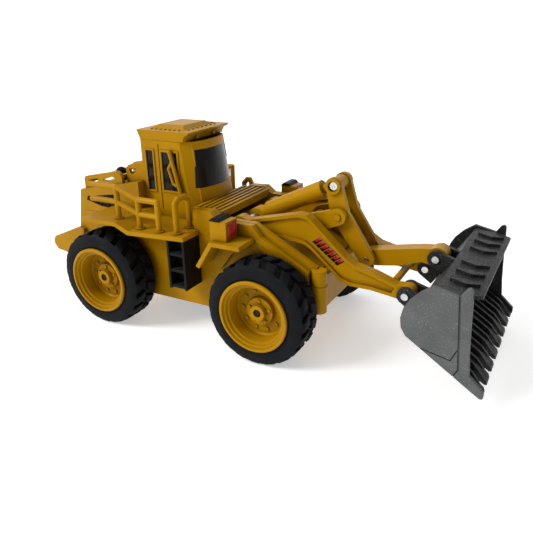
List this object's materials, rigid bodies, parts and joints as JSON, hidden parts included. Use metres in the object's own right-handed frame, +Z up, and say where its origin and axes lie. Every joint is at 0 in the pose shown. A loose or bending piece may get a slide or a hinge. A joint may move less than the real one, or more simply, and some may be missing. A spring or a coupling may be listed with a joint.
{
  "type": "toy front loader",
  "caption": "Toy wheel loader with lift arms, Z-bar bucket linkage, toothed bucket, cab, ladders, rails and four rolling rubber-tyred wheels.",
  "frame": {"origin": "centre of the bounding box, on the ground under the tyres", "axes": "+X forward towards the bucket, +Y to the machine's left, +Z up"},
  "size_m": [0.2866, 0.115, 0.1157],
  "materials": {
    "body_yellow": "satin",
    "grey_plastic": "matte",
    "black_plastic": "satin",
    "tinted_plastic": "gloss",
    "red_plastic": "gloss",
    "bright_steel": "polished",
    "tyre_rubber": "matte",
    "gunmetal_plastic": "speckled satin",
    "white_plastic": "satin"
  },
  "bodies": {
    "chassis": {"chassis_pan": "body_yellow", "base_plate": "grey_plastic", "case_screws": "bright_steel", "front_frame": "body_yellow", "arm_pivot_shaft": "bright_steel", "deck": "body_yellow", "walkway_cover": "body_yellow", "front_fender_right": "body_yellow", "front_fender_left": "body_yellow", "engine_hood": "body_yellow", "hood_guard": "body_yellow", "intake_shield": "body_yellow", "air_cleaner": "black_plastic", "side_vents": "black_plastic", "rear_grille": "black_plastic", "rear_bumper": "body_yellow", "cab_shell": "body_yellow", "cab_roof": "body_yellow", "windshield": "tinted_plastic", "cab_windows": "tinted_plastic", "grab_handles": "body_yellow", "handrail_right": "body_yellow", "handrail_left": "body_yellow", "front_rail_right": "body_yellow", "front_rail_left": "body_yellow", "ladder_right": "black_plastic", "ladder_left": "black_plastic", "headlight_housing_right": "body_yellow", "headlight_housing_left": "body_yellow", "headlight_cap_right": "black_plastic", "headlight_cap_left": "black_plastic", "headlight_lens_right": "red_plastic", "headlight_lens_left": "red_plastic", "motor_frame": "grey_plastic"},
    "front_wheels": {"front_axle": "bright_steel", "front_rim_right": "body_yellow", "front_rim_left": "body_yellow", "front_tyre_right": "tyre_rubber", "front_tyre_left": "tyre_rubber"},
    "rear_wheels": {"rear_axle": "bright_steel", "drive_gear": "white_plastic", "rear_rim_right": "body_yellow", "rear_rim_left": "body_yellow", "rear_tyre_right": "tyre_rubber", "rear_tyre_left": "tyre_rubber"},
    "gear_cluster": {"cluster_gear": "white_plastic"},
    "flywheel": {"flywheel": "bright_steel"},
    "lift_arms": {"lift_arm_right": "body_yellow", "lift_arm_left": "body_yellow", "arm_cross_tubes": "body_yellow", "crank_bracket": "body_yellow", "crank_pin": "body_yellow"},
    "bellcrank": {"bellcrank": "body_yellow", "rod_screw": "bright_steel"},
    "tilt_cylinder": {"tilt_cylinder": "body_yellow"},
    "cylinder_rod": {"cylinder_rod": "body_yellow"},
    "bucket_link": {"bucket_link": "body_yellow"},
    "bucket": {"bucket": "gunmetal_plastic", "spill_guard": "gunmetal_plastic", "bucket_pins": "bright_steel"}
  },
  "joints": [
    {"name": "arm_lift", "type": "hinge", "parent": "chassis", "child": "lift_arms", "pos_m": [0.0023, 0, 0.0652], "axis": [0, -1, 0], "range_deg": [0, 40]},
    {"name": "bucket_tilt", "type": "hinge", "parent": "lift_arms", "child": "bucket", "pos_m": [0.09879, 0, 0.0425], "axis": [0, -1, 0], "range_deg": [-10, 34]},
    {"name": "bellcrank_swing", "type": "hinge", "parent": "lift_arms", "child": "bellcrank", "pos_m": [0.05629, 0, 0.0736], "axis": [0, -1, 0], "range_deg": [-18.9, 5.6]},
    {"name": "link_swing", "type": "hinge", "parent": "bucket", "child": "bucket_link", "pos_m": [0.10809, 0, 0.0572], "axis": [0, -1, 0], "range_deg": [-21.9, 6.5]},
    {"name": "cylinder_swing", "type": "hinge", "parent": "lift_arms", "child": "tilt_cylinder", "pos_m": [0.0023, 0, 0.0652], "axis": [0, -1, 0], "range_deg": [-1.6, 0.5]},
    {"name": "rod_slide", "type": "slide", "parent": "tilt_cylinder", "child": "cylinder_rod", "axis": [0.9019, 0, 0.432], "range_m": [-0.0015, 0.0051]},
    {"name": "front_axle_spin", "type": "hinge", "parent": "chassis", "child": "front_wheels", "pos_m": [0.02919, 0, 0.029], "axis": [0, -1, 0], "continuous": true},
    {"name": "rear_axle_spin", "type": "hinge", "parent": "chassis", "child": "rear_wheels", "pos_m": [-0.0773, 0, 0.029], "axis": [0, -1, 0], "continuous": true},
    {"name": "cluster_spin", "type": "hinge", "parent": "chassis", "child": "gear_cluster", "pos_m": [-0.06882, 0, 0.03748], "axis": [0, -1, 0], "continuous": true},
    {"name": "flywheel_spin", "type": "hinge", "parent": "chassis", "child": "flywheel", "pos_m": [-0.0773, 0, 0.04597], "axis": [0, -1, 0], "continuous": true}
  ],
  "couplings": [
    {"joint": "bellcrank_swing", "follows": "bucket_tilt", "ratio": -0.552},
    {"joint": "link_swing", "follows": "bucket_tilt", "ratio": -0.64},
    {"joint": "cylinder_swing", "follows": "bucket_tilt", "ratio": -0.045},
    {"joint": "rod_slide", "follows": "bucket_tilt", "m_per_rad": 0.0084},
    {"joint": "cluster_spin", "follows": "rear_axle_spin", "ratio": -3},
    {"joint": "flywheel_spin", "follows": "rear_axle_spin", "ratio": 9}
  ]
}
